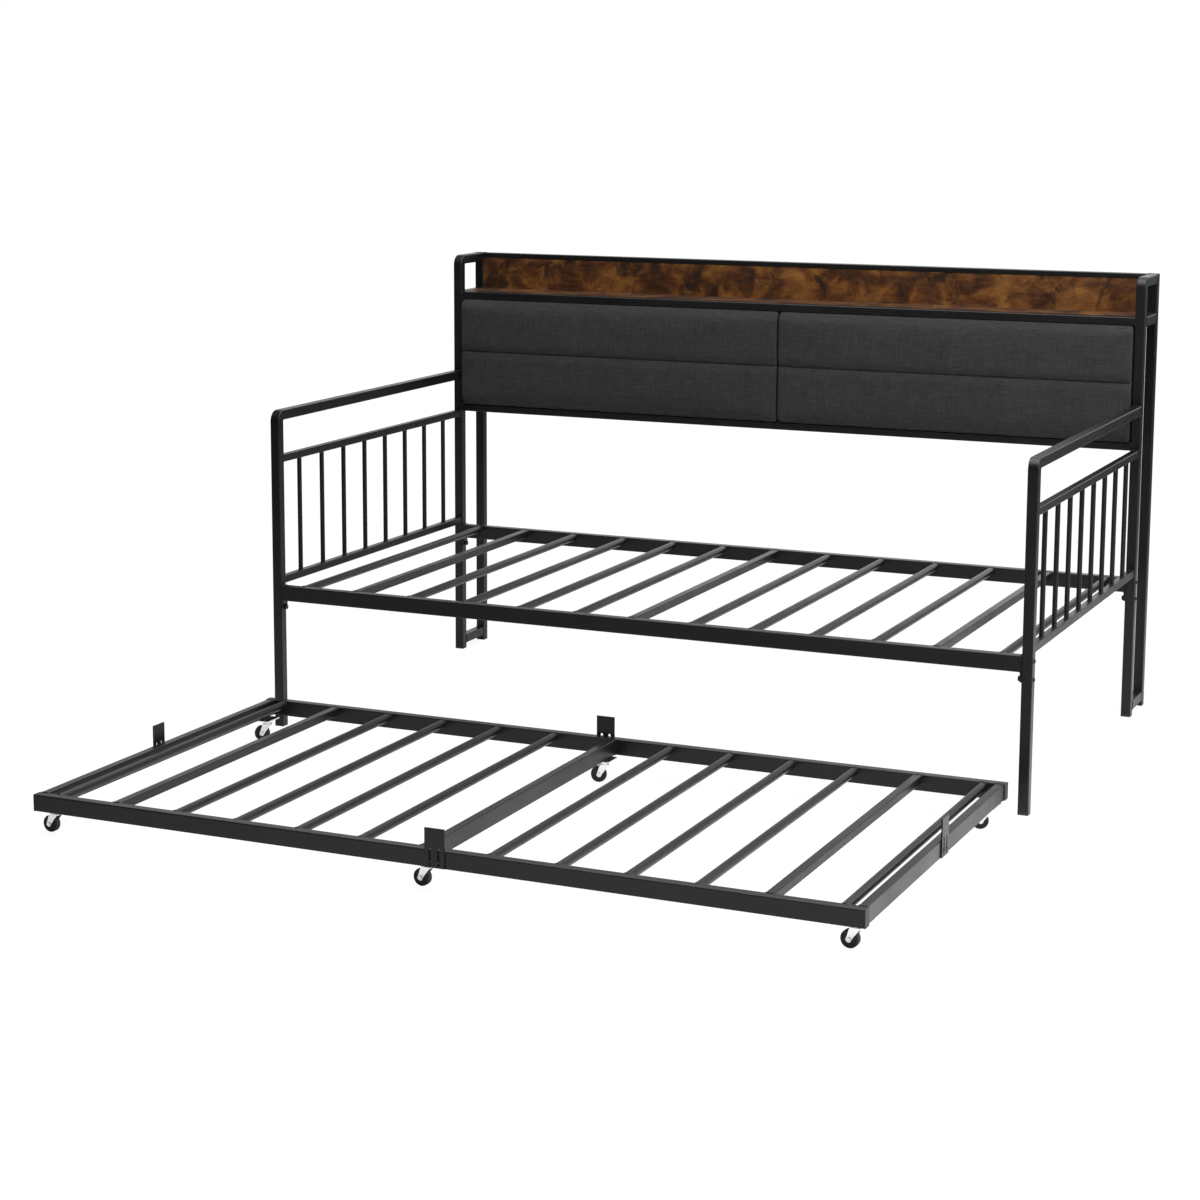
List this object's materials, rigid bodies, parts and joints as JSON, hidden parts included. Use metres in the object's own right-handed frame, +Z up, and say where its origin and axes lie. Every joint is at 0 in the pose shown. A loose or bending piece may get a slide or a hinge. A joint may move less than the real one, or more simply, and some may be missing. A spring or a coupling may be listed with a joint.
{
  "type": "daybed with trundle",
  "caption": "Metal daybed with slatted deck, spindle arms, upholstered back with a wooden storage shelf, and a slatted roll-out trundle on swivel casters.",
  "frame": {"origin": "on the floor, at the centre of the whole object's footprint with the trundle rolled out", "axes": "+X along the bed to the sitter's left when seated (right seen from the front), +Y from the trundle towards the back unit, +Z up"},
  "size_m": [1.988, 2.2886, 1.15],
  "materials": {
    "black_frame": "satin black powder coat",
    "rustic_wood": "rustic brown printed wood grain, matt",
    "linen": "charcoal linen weave over foam",
    "backing_board": "black-faced board",
    "black_plastic": "matt black moulded plastic",
    "chrome": "bright plated steel",
    "wheel_rubber": "matt black",
    "black_bolts": "black oxide"
  },
  "bodies": {
    "daybed": {"left_front_leg": "black_frame", "right_front_leg": "black_frame", "left_arm_top_rail": "black_frame", "right_arm_top_rail": "black_frame", "left_arm_middle_rail": "black_frame", "right_arm_middle_rail": "black_frame", "left_arm_bottom_rail": "black_frame", "right_arm_bottom_rail": "black_frame", "left_arm_spindles": "black_frame", "right_arm_spindles": "black_frame", "left_back_front_post": "black_frame", "right_back_front_post": "black_frame", "left_back_rear_post": "black_frame", "right_back_rear_post": "black_frame", "left_upper_side_bars": "black_frame", "right_upper_side_bars": "black_frame", "left_foot_side_bar": "black_frame", "right_foot_side_bar": "black_frame", "top_cap_rail": "black_frame", "back_board": "rustic_wood", "shelf_board": "rustic_wood", "shelf_front_rail": "black_frame", "shelf_rear_rail": "black_frame", "back_bottom_rail": "black_frame", "left_back_panel": "linen", "right_back_panel": "linen", "panel_backings": "backing_board", "deck_front_rail": "black_frame", "deck_back_rail": "black_frame", "deck_slats": "black_frame", "corner_brackets": "black_frame", "corner_bolts": "black_bolts", "foot_caps": "black_plastic"},
    "trundle": {"trundle_front_rail": "black_frame", "trundle_back_rail": "black_frame", "trundle_left_end_rail": "black_frame", "trundle_right_end_rail": "black_frame", "trundle_mid_beam": "black_frame", "trundle_left_slats": "black_frame", "trundle_right_slats": "black_frame", "trundle_front_stop": "black_frame", "trundle_back_stop": "black_frame", "trundle_left_stop": "black_frame", "trundle_right_stop": "black_frame", "trundle_end_caps": "black_plastic", "stop_bolts": "black_bolts", "caster_mounts": "chrome"},
    "fork_1": {"caster_fork_1": "chrome"},
    "wheel_1": {"caster_wheel_1": "wheel_rubber"},
    "fork_2": {"caster_fork_2": "chrome"},
    "wheel_2": {"caster_wheel_2": "wheel_rubber"},
    "fork_3": {"caster_fork_3": "chrome"},
    "wheel_3": {"caster_wheel_3": "wheel_rubber"},
    "fork_4": {"caster_fork_4": "chrome"},
    "wheel_4": {"caster_wheel_4": "wheel_rubber"},
    "fork_5": {"caster_fork_5": "chrome"},
    "wheel_5": {"caster_wheel_5": "wheel_rubber"},
    "fork_6": {"caster_fork_6": "chrome"},
    "wheel_6": {"caster_wheel_6": "wheel_rubber"}
  },
  "joints": [
    {"name": "trundle_slide", "type": "slide", "parent": "daybed", "child": "trundle", "axis": [0, 1, 0], "range_m": [0, 1.108]},
    {"name": "swivel_1", "type": "hinge", "parent": "trundle", "child": "fork_1", "pos_m": [-0.93, -1.0967, 0.047], "axis": [0, 0, 1], "continuous": true},
    {"name": "wheel_spin_1", "type": "hinge", "parent": "fork_1", "child": "wheel_1", "pos_m": [-0.94297, -1.09579, 0.019], "axis": [-0.0698, -0.9976, 0], "continuous": true},
    {"name": "swivel_2", "type": "hinge", "parent": "trundle", "child": "fork_2", "pos_m": [0, -1.0967, 0.047], "axis": [0, 0, 1], "continuous": true},
    {"name": "wheel_spin_2", "type": "hinge", "parent": "fork_2", "child": "wheel_2", "pos_m": [-0.01297, -1.09579, 0.019], "axis": [-0.0698, -0.9976, 0], "continuous": true},
    {"name": "swivel_3", "type": "hinge", "parent": "trundle", "child": "fork_3", "pos_m": [0.93, -1.0967, 0.047], "axis": [0, 0, 1], "continuous": true},
    {"name": "wheel_spin_3", "type": "hinge", "parent": "fork_3", "child": "wheel_3", "pos_m": [0.91703, -1.09579, 0.019], "axis": [-0.0698, -0.9976, 0], "continuous": true},
    {"name": "swivel_4", "type": "hinge", "parent": "trundle", "child": "fork_4", "pos_m": [-0.93, -0.1877, 0.047], "axis": [0, 0, 1], "continuous": true},
    {"name": "wheel_spin_4", "type": "hinge", "parent": "fork_4", "child": "wheel_4", "pos_m": [-0.94178, -0.19319, 0.019], "axis": [0.4226, -0.9063, 0], "continuous": true},
    {"name": "swivel_5", "type": "hinge", "parent": "trundle", "child": "fork_5", "pos_m": [0, -0.1877, 0.047], "axis": [0, 0, 1], "continuous": true},
    {"name": "wheel_spin_5", "type": "hinge", "parent": "fork_5", "child": "wheel_5", "pos_m": [-0.01178, -0.19319, 0.019], "axis": [0.4226, -0.9063, 0], "continuous": true},
    {"name": "swivel_6", "type": "hinge", "parent": "trundle", "child": "fork_6", "pos_m": [0.93, -0.1877, 0.047], "axis": [0, 0, 1], "continuous": true},
    {"name": "wheel_spin_6", "type": "hinge", "parent": "fork_6", "child": "wheel_6", "pos_m": [0.91822, -0.19319, 0.019], "axis": [0.4226, -0.9063, 0], "continuous": true}
  ]
}
